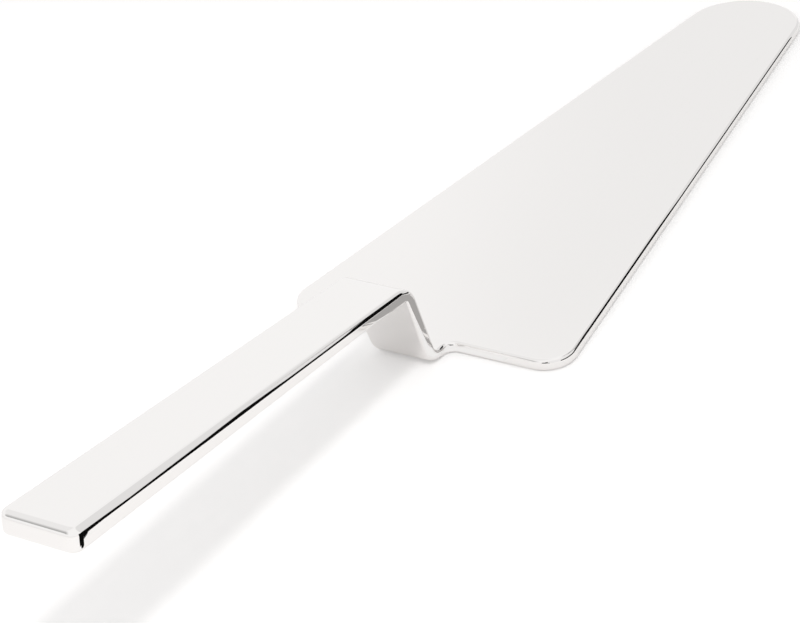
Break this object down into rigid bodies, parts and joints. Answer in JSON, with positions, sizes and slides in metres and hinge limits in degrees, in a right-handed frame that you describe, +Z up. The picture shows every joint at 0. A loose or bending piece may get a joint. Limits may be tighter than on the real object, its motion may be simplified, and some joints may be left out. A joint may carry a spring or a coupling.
{
  "type": "cake server",
  "caption": "Cake server: a flat bar handle cranked up above a thin triangular blade with a round tip, in mirror-polished steel.",
  "frame": {"origin": "on the table, in the middle of the heel, the straight edge at the back of the blade; it lies on the flat underside", "axes": "+X from the handle to the tip of the blade, +Z up, away from the table"},
  "size_m": [0.2579, 0.0576, 0.0306],
  "materials": {
    "polished_steel": "mirror-polished stainless steel",
    "polished_weld": "weld metal ground flush and mirror-polished"
  },
  "bodies": {
    "root": {"handle": "polished_steel", "blade": "polished_steel", "front_weld_run": "polished_weld", "back_weld_run": "polished_weld"}
  },
  "joints": []
}
